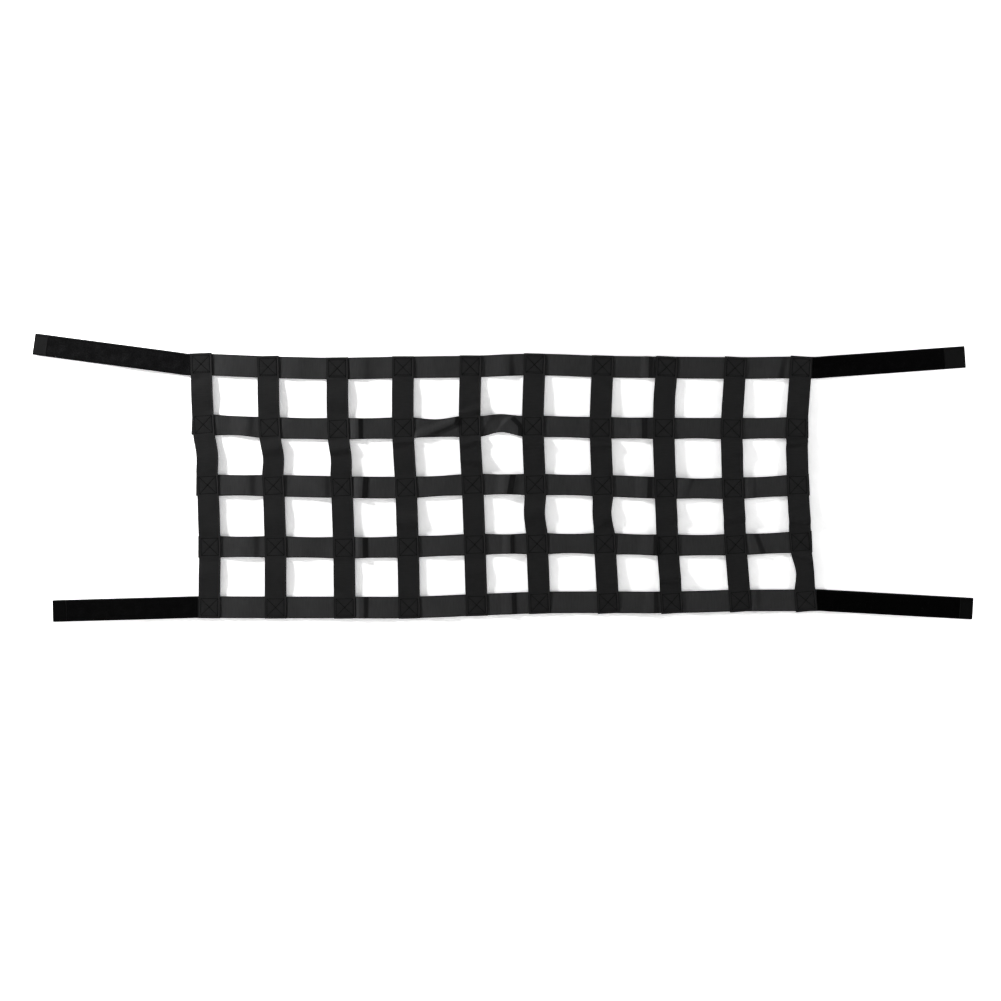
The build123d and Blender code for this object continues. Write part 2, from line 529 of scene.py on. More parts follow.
def mix_colours(tree, share, first, second):
    """A colour mix; the share and the colours are values or sockets. Returns its result."""
    node = tree.nodes.new("ShaderNodeMix")
    node.data_type = "RGBA"
    for index, value in ((0, share), (6, first), (7, second)):
        feed(tree, node.inputs[index], value)
    return node.outputs[2]


def new_group(name, inputs, outputs):
    """An empty shader node group with named sockets, what it is given and what it returns."""
    group = bpy.data.node_groups.new(name, "ShaderNodeTree")
    kinds = {"float": "NodeSocketFloat", "colour": "NodeSocketColor", "vector": "NodeSocketVector"}
    for label, kind in inputs:
        group.interface.new_socket(name=label, in_out="INPUT", socket_type=kinds[kind])
    for label, kind in outputs:
        group.interface.new_socket(name=label, in_out="OUTPUT", socket_type=kinds[kind])
    given = group.nodes.new("NodeGroupInput").outputs
    return group, given, group.nodes.new("NodeGroupOutput").inputs


def noise(tree, vector, scale, detail=3.0):
    """A noise texture's factor at a vector."""
    node = tree.nodes.new("ShaderNodeTexNoise")
    node.inputs["Scale"].default_value = scale
    node.inputs["Detail"].default_value = detail
    join(tree, vector, node.inputs["Vector"])
    return node.outputs["Fac"]


def stretched(tree, vector, scale):
    """A vector multiplied by a scale along each axis."""
    node = tree.nodes.new("ShaderNodeVectorMath")
    node.operation = "MULTIPLY"
    join(tree, vector, node.inputs[0])
    node.inputs[1].default_value = scale
    return node.outputs[0]


def smooth_step(tree, value, low, high):
    """0 below low and 1 above high, with a smooth step between."""
    node = tree.nodes.new("ShaderNodeMapRange")
    node.interpolation_type = "SMOOTHSTEP"
    join(tree, value, node.inputs["Value"])
    node.inputs["From Min"].default_value = low
    node.inputs["From Max"].default_value = high
    return node.outputs[0]


def humps(tree, value):
    """A row of sine humps from 0 to 1, one for each unit of a value."""
    wave = maths(tree, "SINE", maths(tree, "MULTIPLY", value, math.pi))
    return maths(tree, "ABSOLUTE", wave)


def weave_group():
    """Woven webbing: yarns side by side across the strap, each a row of rounded floats, every
    second one shifted by half a float. Height is the square root of the product of two rows of
    sine humps, one along the strap and one across it."""
    group, given, result = new_group(
        "Webbing weave",
        [("Cloth", "vector"), ("Yarn", "float"), ("Float", "float"), ("Half width", "float"),
         ("Rim", "float"), ("Ground", "colour"), ("Crown", "colour"), ("Edge", "colour")],
        [("Colour", "colour"), ("Height", "float")],
    )
    split = group.nodes.new("ShaderNodeSeparateXYZ")
    join(group, given["Cloth"], split.inputs[0])
    yarn = maths(group, "DIVIDE", split.outputs["Y"], given["Yarn"])
    shift = maths(group, "MULTIPLY", maths(group, "MODULO", maths(group, "FLOOR", yarn), 2.0), 0.5)
    pick = maths(group, "ADD", maths(group, "DIVIDE", split.outputs["X"], given["Float"]), shift)
    height = maths(group, "SQRT", maths(group, "MULTIPLY", humps(group, pick), humps(group, yarn)))
    streak = noise(group, stretched(group, given["Cloth"], (520.0, 45.0, 1.0)), 1.0, 2.0)
    streak = maths(group, "MULTIPLY", streak, 0.7)
    # Partly painted shade and highlight: the colour runs from darker hollows between floats to lighter
    # crowns by their height; the stretched noise adds random streaks of the yarn
    tone = maths(group, "ADD", maths(group, "MULTIPLY", height, 0.55), streak)
    colour = mix_colours(group, tone, given["Ground"], given["Crown"])
    # Painted shade: the last strip of each selvedge is mixed towards a near-black edge colour, as the
    # rounded selvedge turns away from the light
    off_axis = maths(group, "ABSOLUTE", split.outputs["Y"])
    inset = maths(group, "SUBTRACT", given["Half width"], off_axis)
    shaded_rim = maths(group, "DIVIDE", inset, given["Rim"])
    shaded_rim = maths(group, "SUBTRACT", 1.0, smooth_step(group, shaded_rim, 0.3, 1.0))
    # Painted highlight: a lighter band just inside each selvedge, mixed towards the crown colour
    highlight_band = maths(group, "SUBTRACT", 1.0, smooth_step(group, inset, 2.6 * MM, 3.6 * MM))
    highlight_band = maths(group, "MULTIPLY", highlight_band, 0.45)
    colour = mix_colours(group, highlight_band, colour, given["Crown"])
    colour = mix_colours(group, shaded_rim, colour, given["Edge"])
    join(group, colour, result["Colour"])
    join(group, height, result["Height"])
    return group


def handling_group():
    """Tone left by handling: broad patches of noise lighten or darken the colour, and fine fibre
    ends add a pale fuzz."""
    group, given, result = new_group(
        "Handling",
        [("Cloth", "vector"), ("Colour", "colour"), ("Pale", "colour"), ("Patch", "float"),
         ("Fuzz", "float")],
        [("Colour", "colour"), ("Roughness", "float")],
    )
    patch = noise(group, given["Cloth"], 26.0, 4.0)
    fuzz = maths(group, "GREATER_THAN", noise(group, given["Cloth"], 1500.0, 2.0), 0.66)
    share = maths(group, "MULTIPLY", patch, given["Patch"])
    share = maths(group, "ADD", share, maths(group, "MULTIPLY", fuzz, given["Fuzz"]))
    colour = mix_colours(group, share, given["Colour"], given["Pale"])
    join(group, colour, result["Colour"])
    rough = maths(group, "ADD", maths(group, "MULTIPLY", patch, 0.22), 0.48)
    join(group, rough, result["Roughness"])
    return group


def painted_shade_group():
    """Painted shade: cloth that leans to the right, away from the key light at the left, is coloured
    deeper, as a smooth step of the sideways part of its normal."""
    group, given, result = new_group(
        "Lean", [("Colour", "colour"), ("Deep", "colour"), ("Most", "float")], [("Colour", "colour")])
    place = group.nodes.new("ShaderNodeTexCoord")
    parts = group.nodes.new("ShaderNodeSeparateXYZ")
    join(group, place.outputs["Normal"], parts.inputs[0])
    share = maths(group, "MULTIPLY", smooth_step(group, parts.outputs["X"], *SHADE_LEAN), given["Most"])
    colour = mix_colours(group, share, given["Colour"], given["Deep"])
    join(group, colour, result["Colour"])
    return group


def pile_group():
    """Napped loop pile: clumps of fibre from two sizes of noise, as a height and a colour."""
    group, given, result = new_group(
        "Loop pile",
        [("Cloth", "vector"), ("Deep", "colour"), ("Tips", "colour")],
        [("Colour", "colour"), ("Height", "float")],
    )
    clump = noise(group, given["Cloth"], 420.0, 5.0)
    brush = noise(group, given["Cloth"], 60.0, 3.0)
    brush = maths(group, "MULTIPLY", brush, 0.5)
    height = maths(group, "ADD", maths(group, "MULTIPLY", clump, 0.7), brush)
    # Painted shade and highlight: the pile is coloured darker in its low parts and lighter at its high
    # tips
    share = maths(group, "POWER", maths(group, "MULTIPLY", height, 0.95), 3.0)
    colour = mix_colours(group, share, given["Deep"], given["Tips"])
    join(group, colour, result["Colour"])
    join(group, height, result["Height"])
    return group


def hook_group():
    """Hook tape: a square field of moulded hooks on a base, each hook a round bump."""
    group, given, result = new_group(
        "Hook field",
        [("Cloth", "vector"), ("Pitch", "float"), ("Base", "colour"), ("Hook", "colour")],
        [("Colour", "colour"), ("Height", "float")],
    )
    split = group.nodes.new("ShaderNodeSeparateXYZ")
    join(group, given["Cloth"], split.inputs[0])
    along, across = [humps(group, maths(group, "DIVIDE", split.outputs[axis], given["Pitch"]))
                     for axis in ("X", "Y")]
    height = maths(group, "POWER", maths(group, "MULTIPLY", along, across), 2.0)
    # Painted shade and highlight: the base between hooks is coloured darker and the hook tops lighter, by
    # their height
    colour = mix_colours(group, height, given["Base"], given["Hook"])
    join(group, colour, result["Colour"])
    join(group, height, result["Height"])
    return group


def shader(name, specular, sheen=0.0):
    """A new cloth material: its node tree, its Principled shader and its cloth UV socket."""
    material = bpy.data.materials.new(name)
    material.use_nodes = True
    tree = material.node_tree
    bsdf = tree.nodes["Principled BSDF"]
    bsdf.inputs["Specular IOR Level"].default_value = specular
    bsdf.inputs["Sheen Weight"].default_value = sheen
    bsdf.inputs["Sheen Roughness"].default_value = 0.55
    cloth = tree.nodes.new("ShaderNodeUVMap")
    cloth.uv_map = "cloth"
    return tree, bsdf, cloth.outputs["UV"]


def place_group(tree, group, values):
    """A group node in a tree, with its inputs set by name to values or sockets. Returns its
    outputs."""
    node = tree.nodes.new("ShaderNodeGroup")
    node.node_tree = group
    for label, value in values.items():
        feed(tree, node.inputs[label], value)
    return node.outputs


def dress(tree, bsdf, colour, roughness, height, depth):
    """Gives a shader its colour, its roughness, and bump from a height with a depth in metres."""
    join(tree, colour, bsdf.inputs["Base Color"])
    feed(tree, bsdf.inputs["Roughness"], roughness)
    bump = tree.nodes.new("ShaderNodeBump")
    bump.inputs["Strength"].default_value = 1.0
    bump.inputs["Distance"].default_value = depth
    join(tree, height, bump.inputs["Height"])
    join(tree, bump.outputs[0], bsdf.inputs["Normal"])


def shade(colour, factor):
    """A colour made darker or lighter by a factor."""
    return tuple(min(1.0, part * factor) for part in tuple(colour)[:3]) + (1.0,)


def webbing_material(name, colour, groups, shaded_rim, specular):
    """Woven webbing in one dyed colour."""
    tree, bsdf, cloth = shader(name, specular, 0.03)
    weave = place_group(tree, groups["weave"], {
        "Cloth": cloth, "Yarn": 1.05 * MM, "Float": 1.9 * MM, "Half width": sizes().width / 2,
        "Rim": shaded_rim, "Ground": shade(colour, 0.45), "Crown": shade(colour, 1.35),
        "Edge": shade(colour, 0.15)})
    worn = place_group(tree, groups["handling"], {
        "Cloth": cloth, "Colour": weave["Colour"], "Pale": shade(colour, 2.6),
        "Patch": 0.22, "Fuzz": 0.10})
    # Painted shade: cloth that leans to the right, away from the key light, is coloured darker
    lean = place_group(tree, groups["lean"], {
        "Colour": worn["Colour"], "Deep": shade(colour, 0.08), "Most": 0.8})
    dress(tree, bsdf, lean["Colour"], worn["Roughness"], weave["Height"], 0.28 * MM)


def pile_material(name, groups, painted_light):
    """The loop tape's napped face."""
    # Painted light: this tail's copy of the pile is lightened or darkened by its own factor, for how the
    # light falls on it
    colour = shade(colours().pile, painted_light)
    tree, bsdf, cloth = shader(name, 0.04, 0.015)
    pile = place_group(tree, groups["pile"], {
        "Cloth": cloth, "Deep": shade(colour, 0.3), "Tips": shade(colour, 4.0)})
    dress(tree, bsdf, pile["Colour"], 0.85, pile["Height"], 0.9 * MM)


def hook_material(name, groups, painted_light):
    """The hook patch."""
    # Painted light: this tail's copy of the patch, and its specular, is lightened or darkened by its own
    # factor, for how the light falls on it
    colour = shade(colours().hooks, painted_light)
    tree, bsdf, cloth = shader(name, 0.4 * painted_light)
    field = place_group(tree, groups["hooks"], {
        "Cloth": cloth, "Pitch": 1.5 * MM, "Base": shade(colour, 0.5), "Hook": shade(colour, 2.0)})
    worn = place_group(tree, groups["handling"], {
        "Cloth": cloth, "Colour": field["Colour"], "Pale": shade(colour, 3.0),
        "Patch": 0.15, "Fuzz": 0.08})
    dress(tree, bsdf, worn["Colour"], worn["Roughness"], field["Height"], 0.5 * MM)


def thread_material(groups):
    """Bonded sewing thread, with the twist of its strands."""
    colour = colours().thread
    tree, bsdf, cloth = shader("net_sewing_thread", 0.1)
    twist = place_group(tree, groups["weave"], {
        "Cloth": cloth, "Yarn": 0.45 * MM, "Float": 0.7 * MM, "Half width": 1.0, "Rim": 0.1 * MM,
        "Ground": shade(colour, 0.6), "Crown": shade(colour, 1.5), "Edge": shade(colour, 1.0)})
    dress(tree, bsdf, twist["Colour"], 0.5, twist["Height"], 0.08 * MM)


def finishes():
    """The net's materials by name, made once."""
    if "net_vertical_webbing" not in bpy.data.materials:
        groups = {"weave": weave_group(), "handling": handling_group(), "lean": painted_shade_group(),
                  "pile": pile_group(), "hooks": hook_group()}
        webbing_material("net_vertical_webbing", colours().upright, groups, 1.5 * MM, 0.22)
        webbing_material("net_horizontal_webbing", colours().level, groups, 2.4 * MM, 0.3)
        for name, tail in TAILS.items():
            hook_material(f"net_hook_tape_{name}", groups, tail.patch_paleness)
            pile_material(f"net_loop_pile_{name}", groups, tail.pile_paleness)
        thread_material(groups)
    return bpy.data.materials


# ---------------------------------------------------------------- straps

def strap_section():
    """The section of the net's webbing."""
    size = sizes()
    return flat_section(size.width, size.thick, size.across_steps)


def layer_depths():
    """Where the mid planes of the vertical straps, horizontal straps and hems lie, on Y."""
    low, high = node_box("horizontal_strap_3_left")
    row = (low[1] + high[1]) / 2
    thick = high[1] - low[1]
    return row - thick, row, row + thick


def build_column(column):
    """A vertical strap. Its path runs up the rear hem, over the top horizontal strap in a half
    circle, down the front and back up the lower hem; x follows a smooth line through its
    crossings, and the front stands off its plane by the slack and creases."""
    x, z = crossings()
    front_y, row_y, hem_y = layer_depths()
    bend = (hem_y - front_y) / 2
    top = z[0, column] + sizes().width / 2 - sizes().thick
    foot = z[-1, column] - sizes().width / 2 + sizes().thick
    front = stations(foot, top, z[:, column], FINE_REACH)[::-1]
    turn = np.linspace(0, math.pi, 9)[1:-1]
    upper = np.linspace(top - HEM, top, 18)
    lower = np.linspace(foot, foot + HEM, 18)
    rise, depth = bend * np.sin(turn), bend * np.cos(turn)
    path_z = np.concatenate([upper, top + rise, front, foot - rise, lower])
    path_y = np.concatenate([
        np.full(len(upper), hem_y), row_y + depth, np.full(len(front), front_y),
        row_y - depth, np.full(len(lower), hem_y),
    ])
    knots, values = z[::-1, column], x[::-1, column]
    sways = [(ROWS - 2 - gap, aside, width) for gap, aside, width in of_strap(COLUMN_SWAYS, column)]
    shift, share = sway_of(path_z, knots, sways)
    path_x = smooth_through(knots, values, path_z)
    centre = np.stack([path_x + shift, path_y - stand_off(path_z), path_z], axis=-1)
    ahead = path_z + SLOPE_STEP
    lean = (smooth_through(knots, values, ahead) - path_x
            + sway_of(ahead, knots, sways)[0] - shift) / SLOPE_STEP
    across = np.stack([np.ones_like(lean), np.zeros_like(lean), -lean], axis=-1)
    w, h = strap_section()
    creases = of_strap(COLUMN_CREASES, column)
    lift = np.zeros((len(path_z), len(w)))
    pinch = np.zeros((len(path_z), len(w)))
    begin = len(upper) + len(turn)
    rows = slice(begin, begin + len(front))
    lift[rows] = lay_of(front, w, z[:, column], creases, 100 + column, COLUMN_BULGE, -1)
    ends = np.clip(np.minimum(front - foot, top - front) / (8 * MM), 0, 1)[:, None]
    curl = np.clip((w - CURL_FROM) / CURL_OVER, 0, 1)[None, :] ** 2
    lift[rows] += SELVEDGE_CURL * curl * ends
    pinch[rows] = pucker_of(front, w, z[:, column])
    name = f"front_strap_{column + 1}"
    strap = ribbon(name, centre, across, (w, h), finishes()["net_vertical_webbing"], lift, pinch,
                   start=column * 0.7, share=share)
    panel = sum(column >= first for first in FIRST_COLUMN[1:-1])
    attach(strap, PANELS[panel] + "_panel")
    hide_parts(f"vertical_strap_{column + 1}")


def row_line(row, places):
    """Height and slope of a horizontal strap's middle line at places along x."""
    x, z = crossings()
    height = smooth_through(x[row], z[row], places)
    slope = (smooth_through(x[row], z[row], places + SLOPE_STEP) - height) / SLOPE_STEP
    return height, slope


def build_row(row, number, low, high, fold):
    """A stretch of a horizontal strap from low to high, with fine mesh round the fold that it spans."""
    x, _ = crossings()
    _, row_y, _ = layer_depths()
    places = stations(low, high, list(x[row]) + [fold[0]], FINE_REACH)
    height, slope = row_line(row, places)
    sways = of_strap(ROW_SWAYS, row)
    shift, share = sway_of(places, x[row], sways)
    slope = slope + (sway_of(places + SLOPE_STEP, x[row], sways)[0] - shift) / SLOPE_STEP
    centre = np.stack([places, row_y - stand_off(height), height + shift], axis=-1)
    across = np.stack([-slope, np.zeros_like(slope), np.ones_like(slope)], axis=-1)
    w, h = strap_section()
    lift = lay_of(places, w, x[row], of_strap(ROW_CREASES, row), 10 + row, ROW_BULGE, 1)
    pinch = pucker_of(places, w, x[row])
    name = f"rear_strap_{row + 1}_{number}"
    strap = ribbon(name, centre, across, (w, h), finishes()["net_horizontal_webbing"], lift, pinch,
                   start=low - x[row, 0] + row * 1.7, share=share)
    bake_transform(strap)
    return strap


# ---------------------------------------------------------------- tails

def tail_frame(name):
    """A tail's root point and direction, from its first two joints."""
    root = joint_place(f"{name}_swing")
    bend = joint_place(f"{name}_wrap")
    return root, (bend - root) / np.linalg.norm(bend - root)


def tail_line(name, places):
    """Points and width directions of a tail's middle line at distances from its root. Beyond the
    net's edge it is straight; inside, it follows the horizontal strap; the two join smoothly."""
    side, row = TAILS[name].side, TAILS[name].row
    root, way = tail_frame(name)
    straight = root + places[:, None] * way
    height, _ = row_line(row, root[0] + side * places)
    shift = root[2] - row_line(row, np.array([root[0]]))[0]
    inside = np.stack([root[0] + side * places, np.full(len(places), root[1]), height + shift], axis=-1)
    share = ease((places + 12 * MM) / (32 * MM))[:, None]
    shift_out = np.clip(-places / (16 * MM), 0, 1)[:, None] * np.array([0, 0, 1]) * shift
    centre = inside * (1 - share) + straight * share - shift_out
    tangent = np.gradient(centre, places, axis=0)
    across = np.stack([-tangent[:, 2] * side, np.zeros(len(places)), tangent[:, 0] * side], axis=-1)
    return centre, across


def tail_cuts(name):
    """Where a tail is parted: behind the end strap's middle, half way along its first two lengths."""
    tail = TAILS[name]
    x, _ = crossings()
    root, _ = tail_frame(name)
    end_column = 0 if tail.side < 0 else COLUMNS - 1
    inner = -abs(root[0] - x[tail.row, end_column])
    part = tail.length * MM / 3
    return inner, part * 0.5, part * 1.5, tail.length * MM


def bend_tail(piece):
    """Bakes the transform of a piece of a tail into its mesh."""
    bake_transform(piece)


def tail_lift(name, places, w):
    """How far a tail stands off its plane: slow waves, none at the root."""
    calm = np.clip(places / (40 * MM), 0, 1)[:, None]
    rng = np.random.default_rng(sum(map(ord, name)))
    phase = rng.uniform(0, 2 * math.pi, 2)
    wave = np.sin(places / 0.21 * 2 * math.pi + phase[0])[:, None] * 1.3 * MM
    roll = np.sin(places / 0.16 * 2 * math.pi + phase[1])[:, None] * (w / HALF_WEB)[None, :] * 0.6 * MM
    return (wave + roll) * calm


def tail_ribbon(label, name, low, high, section, material, offset, drop):
    """A flat piece of a tail between two distances, standing off its middle plane by an offset
    and set down across its width by a drop."""
    steps = stations(low, high, [], 0)
    places = steps if TAILS[name].side > 0 else steps[::-1]
    centre, across = tail_line(name, places)
    w, h = section
    lift = tail_lift(name, places, w) + offset
    return ribbon(label, centre, across, (w + drop, h), material, lift)


def build_tail(name):
    """A tail: webbing, loop tape along its front and a hook patch at its tip."""
    size = sizes()
    cuts = tail_cuts(name)
    patch = TAILS[name].patch * MM
    web = strap_section()
    tape = flat_section(size.tape_width, size.tape_thick, 26)
    stand = (size.thick + size.tape_thick) / 2 + 0.02 * MM
    drop = -(size.width - size.tape_width) / 2 + 0.1 * MM
    for number in TAIL_LENGTHS:
        low, high = cuts[number - 1], cuts[number]
        piece = tail_ribbon(f"{name}_strap_{number}", name, low, high, web,
                            finishes()["net_horizontal_webbing"], 0.0, 0.0)
        bend_tail(piece)
        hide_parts(f"{name}_tail_webbing_{number}")
        tape_low = TAPE_START if number == 1 else low
        tape_high = high if number < 3 else high - patch - PATCH_GAP
        piece = tail_ribbon(f"{name}_loop_{number}", name, tape_low, tape_high, tape,
                            finishes()[f"net_loop_pile_{name}"], stand, drop)
        bend_tail(piece)
        if number < 3:
            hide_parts(f"{name}_loop_tape_{number}")
    tip = cuts[3]
    piece = tail_ribbon(f"{name}_hook_patch", name, tip - patch, tip - TIP_MARGIN, tape,
                        finishes()[f"net_hook_tape_{name}"], stand - 0.1 * MM, drop)
    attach(piece, f"{name}_tail_3")
    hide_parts(f"{name}_tip_tapes")


# ---------------------------------------------------------------- thread

def stitch_shape(length, radius):
    """One stitch lying along its first axis: a round thread whose middle line is a low arch that
    dips into the cloth at both ends. Returns its points (along, side, up) and faces."""
    turns = np.linspace(0, 2 * math.pi, 6, endpoint=False)
    share = np.array([0.0, 0.14, 0.5, 0.86, 1.0])
    up = np.array([-0.9, -0.1, 0.25, -0.1, -0.9]) * radius
    fat = np.array([0.55, 0.95, 1.0, 0.95, 0.55]) * radius
    along = (share - 0.5) * length
    ring = np.stack([np.repeat(along, len(turns)), np.outer(fat, np.cos(turns)).ravel(),
                     (up[:, None] + fat[:, None] * np.sin(turns)[None, :]).ravel()], axis=-1)
    sides, caps = tube_faces(len(along), len(turns))
    return ring, sides, caps


def seam(name, places, ways, ups, material):
    """Stitches as one mesh: each copy of the stitch stands at a place, along a way, with its arch
    towards up. All copies are worked out together as arrays."""
    size = sizes()
    shape, sides, caps = stitch_shape(size.stitch * 0.93, size.thread / 2)
    ways = unit(ways)
    cross = np.cross(ups, ways)
    points = (places[:, None, :] + shape[None, :, 0:1] * ways[:, None, :]
              + shape[None, :, 1:2] * cross[:, None, :] + shape[None, :, 2:3] * ups[:, None, :])
    jump = np.arange(len(places))[:, None, None] * len(shape)
    faces = (sides[None] + jump).reshape(-1, 4)
    ends = (np.array(caps)[None] + jump).reshape(len(places) * 2, -1)
    uv = np.tile(np.stack([shape[:, 0], shape[:, 1]], axis=-1), (len(places), 1))
    return make_mesh(name, points.reshape(-1, 3), faces, ends, uv, material)


def line_of_stitches(start, end, pitch):
    """Middles and directions of stitches spread evenly from one (a, b) point to another."""
    start, end = np.array(start, float), np.array(end, float)
    run = np.linalg.norm(end - start)
    count = max(1, int(round(run / pitch)))
    share = (np.arange(count) + 0.5) / count
    middles = start + share[:, None] * (end - start)
    return middles, np.tile((end - start) / run, (count, 1))


def box_lines(half, doubled):
    """The lines of a sewn square with its cross, as pairs of (across, up) points. A doubled one
    has a second line just above its foot."""
    corners = [(-half, -half), (half, -half), (half, half), (-half, half)]
    lines = list(zip(corners, corners[1:] + corners[:1]))
    lines += [(corners[0], corners[2]), (corners[3], corners[1])]
    if doubled:
        inner = half - 2.2 * MM
        lines.append(((-half, -inner), (half, -inner)))
    return lines


def build_panel_stitches(panel):
    """Every box-and-cross stitch of one panel, on the front of its vertical straps and on the back
    of what they are sewn to."""
    size = sizes()
    x, z = crossings()
    front_y, row_y, hem_y = layer_depths()
    half_thick = size.thick / 2
    middles, ways, ups = [], [], []
    for row in range(ROWS):
        outer = row in (0, ROWS - 1)
        back = (hem_y if outer else row_y) + half_thick - BOX_SINK
        front = front_y - half_thick + BOX_SINK
        for column in range(FIRST_COLUMN[panel], FIRST_COLUMN[panel + 1]):
            above, below = max(row - 1, 0), min(row + 1, ROWS - 1)
            lean = (x[above, column] - x[below, column]) / (z[above, column] - z[below, column])
            upright = np.array([lean, 0, 1]) / math.hypot(lean, 1)
            level = np.array([upright[2], 0, -upright[0]])
            for start, end in box_lines(size.box / 2, row == 0):
                spots, heading = line_of_stitches(start, end, size.stitch)
                flat = spots[:, :1] * level + spots[:, 1:] * upright
                turned = heading[:, :1] * level + heading[:, 1:] * upright
                for depth, facing in ((front, -1.0), (back, 1.0)):
                    place = flat + np.array([x[row, column], depth, z[row, column]])
                    place[:, 1] -= stand_off(place[:, 2])
                    middles.append(place)
                    ways.append(turned)
                    ups.append(np.tile([0.0, facing, 0.0], (len(place), 1)))
    piece = seam(f"crossing_stitches_{PANELS[panel]}", np.concatenate(middles),
                 np.concatenate(ways), np.concatenate(ups), finishes()["net_sewing_thread"])
    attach(piece, PANELS[panel] + "_panel")
    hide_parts(f"box_stitches_{PANELS[panel]}")


def tail_seam(label, name, low, high, offsets, stand, facing):
    """Rows of stitches along a tail at offsets across it, between two distances from its root."""
    size = sizes()
    count = max(1, int((high - low) / size.stitch))
    places = low + (np.arange(count) + 0.5) / count * (high - low)
    order = places if TAILS[name].side > 0 else places[::-1]
    centre, across = tail_line(name, order)
    way = np.gradient(centre, axis=0)
    up = np.array([0.0, facing, 0.0])
    middles, ways = [], []
    for offset in offsets:
        lift = tail_lift(name, order, np.array([offset]))[:, 0]
        spot = centre + unit(across) * offset
        middles.append(spot + np.array([0, -1.0, 0]) * lift[:, None] + up * stand)
        ways.append(way)
    every = np.concatenate(middles)
    return seam(label, every, np.concatenate(ways), np.tile(up, (len(every), 1)),
                finishes()["net_sewing_thread"])


def build_tail_stitches(name):
    """The seams that hold the tape to a tail: along both edges, front and back, and along both edges
    of the patch."""
    size = sizes()
    cuts = tail_cuts(name)
    patch = TAILS[name].patch * MM
    inset = size.tape_width / 2 - 2.4 * MM
    drop = -(size.width - size.tape_width) / 2
    offsets = (inset + drop, -inset + drop)
    front = size.thick / 2 + size.tape_thick - SEAM_SINK
    back = size.thick / 2 - SEAM_SINK
    for number in TAIL_LENGTHS:
        low = 1.5 * MM if number == 1 else cuts[number - 1]
        high = cuts[number] if number < 3 else cuts[3] - patch - 3 * MM
        for label, stand, facing in (("front", front, -1.0), ("back", back, 1.0)):
            piece = tail_seam(f"{name}_{label}_seam_{number}", name, low, high, offsets, stand, facing)
            bend_tail(piece)
    low, high = cuts[3] - patch + 2.0 * MM, cuts[3] - 2.6 * MM
    piece = tail_seam(f"{name}_patch_seam", name, low, high, offsets, front, -1.0)
    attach(piece, f"{name}_tail_3")


# ---------------------------------------------------------------- stage

def stage_material(name, tone, lit, low_glow, glow_gain):
    """A matt stage surface. A glow that only the camera sees keeps it white and thins the shadows
    on it; it gains as a smooth step of the distance from the middle, in half widths and half
    heights. From behind, and to light that reaches past it, the surface is clear."""
    material = bpy.data.materials.new(name)
    material.use_nodes = True
    tree = material.node_tree
    tree.nodes.remove(tree.nodes["Principled BSDF"])
    facing = tree.nodes.new("ShaderNodeNewGeometry")
    path = tree.nodes.new("ShaderNodeLightPath")
    camera = path.outputs["Is Camera Ray"]
    matt = tree.nodes.new("ShaderNodeBsdfDiffuse")
    extra = maths(tree, "MULTIPLY", camera, lit - tone)
    join(tree, maths(tree, "ADD", extra, tone), matt.inputs["Color"])
    place = tree.nodes.new("ShaderNodeSeparateXYZ")
    join(tree, facing.outputs["Position"], place.inputs[0])
    across = maths(tree, "POWER", maths(tree, "DIVIDE", place.outputs["X"], GAIN_FROM[0]), 2.0)
    upward = maths(tree, "POWER", maths(tree, "DIVIDE", place.outputs["Z"], GAIN_FROM[1]), 2.0)
    away = maths(tree, "SQRT", maths(tree, "ADD", across, upward))
    gain = maths(tree, "MULTIPLY", smooth_step(tree, away, 1.0, GAIN_WHOLE), glow_gain)
    glow = tree.nodes.new("ShaderNodeEmission")
    strength = maths(tree, "MULTIPLY", maths(tree, "ADD", gain, low_glow), camera)
    join(tree, strength, glow.inputs["Strength"])
    both = tree.nodes.new("ShaderNodeAddShader")
    join(tree, matt.outputs[0], both.inputs[0])
    join(tree, glow.outputs[0], both.inputs[1])
    clear = tree.nodes.new("ShaderNodeBsdfTransparent")
    mix = tree.nodes.new("ShaderNodeMixShader")
    hidden = maths(tree, "MAXIMUM", facing.outputs["Backfacing"], path.outputs["Is Shadow Ray"])
    join(tree, hidden, mix.inputs[0])
    join(tree, both.outputs[0], mix.inputs[1])
    join(tree, clear.outputs[0], mix.inputs[2])
    join(tree, mix.outputs[0], tree.nodes["Material Output"].inputs[0])
    return material


def white_studio():
    """A plain white world: one strength for what the camera sees, another for the light it gives."""
    world = bpy.data.worlds.new("studio")
    world.use_nodes = True
    tree = world.node_tree
    sky = tree.nodes["Background"]
    sky.inputs["Color"].default_value = (1, 1, 1, 1)
    seen = tree.nodes.new("ShaderNodeLightPath")
    extra = maths(tree, "MULTIPLY", seen.outputs["Is Camera Ray"], BACKDROP - ROOM)
    join(tree, maths(tree, "ADD", extra, ROOM), sky.inputs["Strength"])
    return world


def plane(name, corners, material):
    """A flat stage surface from its four corners."""
    mesh = bpy.data.meshes.new(name)
    mesh.from_pydata(corners, [], [(0, 1, 2, 3)])
    mesh.materials.append(material)
    obj = bpy.data.objects.new(name, mesh)
    bpy.context.scene.collection.objects.link(obj)


def soft_light(name, place, aim, energy, size):
    """A square area light at a place, turned to an aim."""
    light = bpy.data.lights.new(name, "AREA")
    light.energy = energy
    light.size = size
    obj = bpy.data.objects.new(name, light)
    obj.location = place
    obj.rotation_euler = (Vector(aim) - Vector(place)).to_track_quat("-Z", "Y").to_euler()
    bpy.context.scene.collection.objects.link(obj)


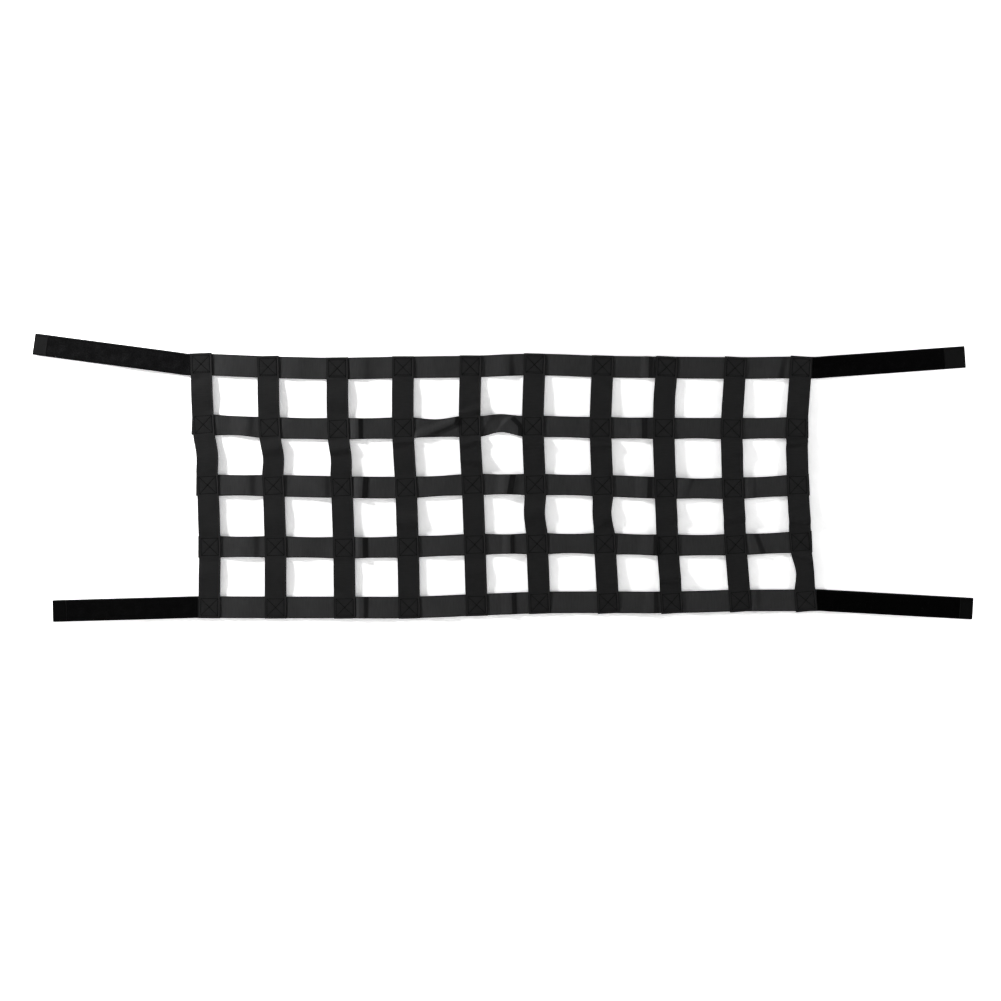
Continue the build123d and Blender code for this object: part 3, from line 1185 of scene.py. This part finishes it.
class NET_OT_stage(bpy.types.Operator):
    """Sets the pale floor and wall, the soft lights and the camera."""

    bl_idname = "net.stage"
    bl_label = "Stage and camera"

    def execute(self, context):
        scene = context.scene
        scene.view_settings.view_transform = "Standard"
        scene.view_settings.gamma = VIEW_GAMMA
        scene.world = white_studio()
        tone = colours().studio[0]
        low, high = CAD_BOX
        side, back = WALL_HALF, high.y + WALL_GAP
        plane("wall", [(-side, back, -side), (side, back, -side), (side, back, side), (-side, back, side)],
              stage_material("wall", tone, WALL_LIT, WALL_GLOW, WALL_GAIN))
        side, floor = FLOOR_HALF, low.z - FLOOR_DROP
        plane("floor", [(-side, -side, floor), (side, -side, floor), (side, side, floor),
                        (-side, side, floor)], stage_material("floor", tone, tone, FLOOR_GLOW, 0.0))
        for light in LIGHTS:
            soft_light(*light)
        camera = bpy.data.cameras.new("camera")
        camera.lens = CAMERA_LENS
        view = bpy.data.objects.new("camera", camera)
        view.location = CAMERA_PLACE
        view.rotation_euler = (math.radians(90), 0, 0)
        scene.collection.objects.link(view)
        scene.camera = view
        return {"FINISHED"}


class NET_OT_vertical_straps(bpy.types.Operator):
    """Builds the vertical straps with their folded hems."""

    bl_idname = "net.vertical_straps"
    bl_label = "Vertical straps"

    def execute(self, context):
        for column in range(COLUMNS):
            build_column(column)
        return {"FINISHED"}


class NET_OT_horizontal_straps(bpy.types.Operator):
    """Builds the horizontal straps, each in three stretches that each span a fold."""

    bl_idname = "net.horizontal_straps"
    bl_label = "Horizontal straps"

    def execute(self, context):
        x, _ = crossings()
        folds = [joint_place(name) for name in ("fold_left", "fold_middle", "fold_right")]
        for row in range(ROWS):
            outer = row in (0, ROWS - 1)
            past = 0 if outer else sizes().width / 2 + ROW_PAST
            ends = (x[row, 0] - past, x[row, 3], x[row, 6], x[row, -1] + past)
            for number, fold in enumerate(folds, 1):
                strap = build_row(row, number, ends[number - 1], ends[number], fold)
                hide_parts(f"horizontal_strap_{row + 1}_{PANELS[number]}")
                if number == 1:
                    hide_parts(f"horizontal_strap_{row + 1}_{PANELS[0]}")
        return {"FINISHED"}


class NET_OT_tails(bpy.types.Operator):
    """Builds the four corner tails with their loop tape and hook patches."""

    bl_idname = "net.tails"
    bl_label = "Hook-and-loop tails"

    def execute(self, context):
        for name in TAILS:
            build_tail(name)
        return {"FINISHED"}


class NET_OT_stitches(bpy.types.Operator):
    """Sews the crossings and the tapes, stitch by stitch."""

    bl_idname = "net.stitches"
    bl_label = "Stitches"

    def execute(self, context):
        for panel in range(len(PANELS)):
            build_panel_stitches(panel)
        for name in TAILS:
            build_tail_stitches(name)
        return {"FINISHED"}


class NET_PT_panel(bpy.types.Panel):
    """Lists the net's steps, sizes and colours."""

    bl_idname = "NET_PT_panel"
    bl_label = "Webbing cargo net"
    bl_space_type = "VIEW_3D"
    bl_region_type = "UI"
    bl_category = "Net"

    def draw(self, context):
        for step in STEPS:
            self.layout.operator(step.bl_idname)
        for group in (context.scene.net_sizes, context.scene.net_colours):
            for label in group.bl_rna.properties.keys():
                if label not in ("name", "rna_type"):
                    self.layout.prop(group, label)


STEPS = (NET_OT_stage, NET_OT_vertical_straps, NET_OT_horizontal_straps, NET_OT_tails, NET_OT_stitches)
CLASSES = (NetSizes, NetColours, *STEPS, NET_PT_panel)


def register():
    """Registers the classes and the scene's properties."""
    for kind in CLASSES:
        bpy.utils.register_class(kind)
    bpy.types.Scene.net_sizes = PointerProperty(type=NetSizes)
    bpy.types.Scene.net_colours = PointerProperty(type=NetColours)


def unregister():
    """Takes them away again."""
    del bpy.types.Scene.net_sizes
    del bpy.types.Scene.net_colours
    for kind in reversed(CLASSES):
        bpy.utils.unregister_class(kind)


def main():
    """Builds the net step by step."""
    register()
    bpy.ops.net.stage()
    bpy.ops.net.vertical_straps()
    bpy.ops.net.horizontal_straps()
    bpy.ops.net.tails()
    bpy.ops.net.stitches()


if __name__ == "__main__":
    main()
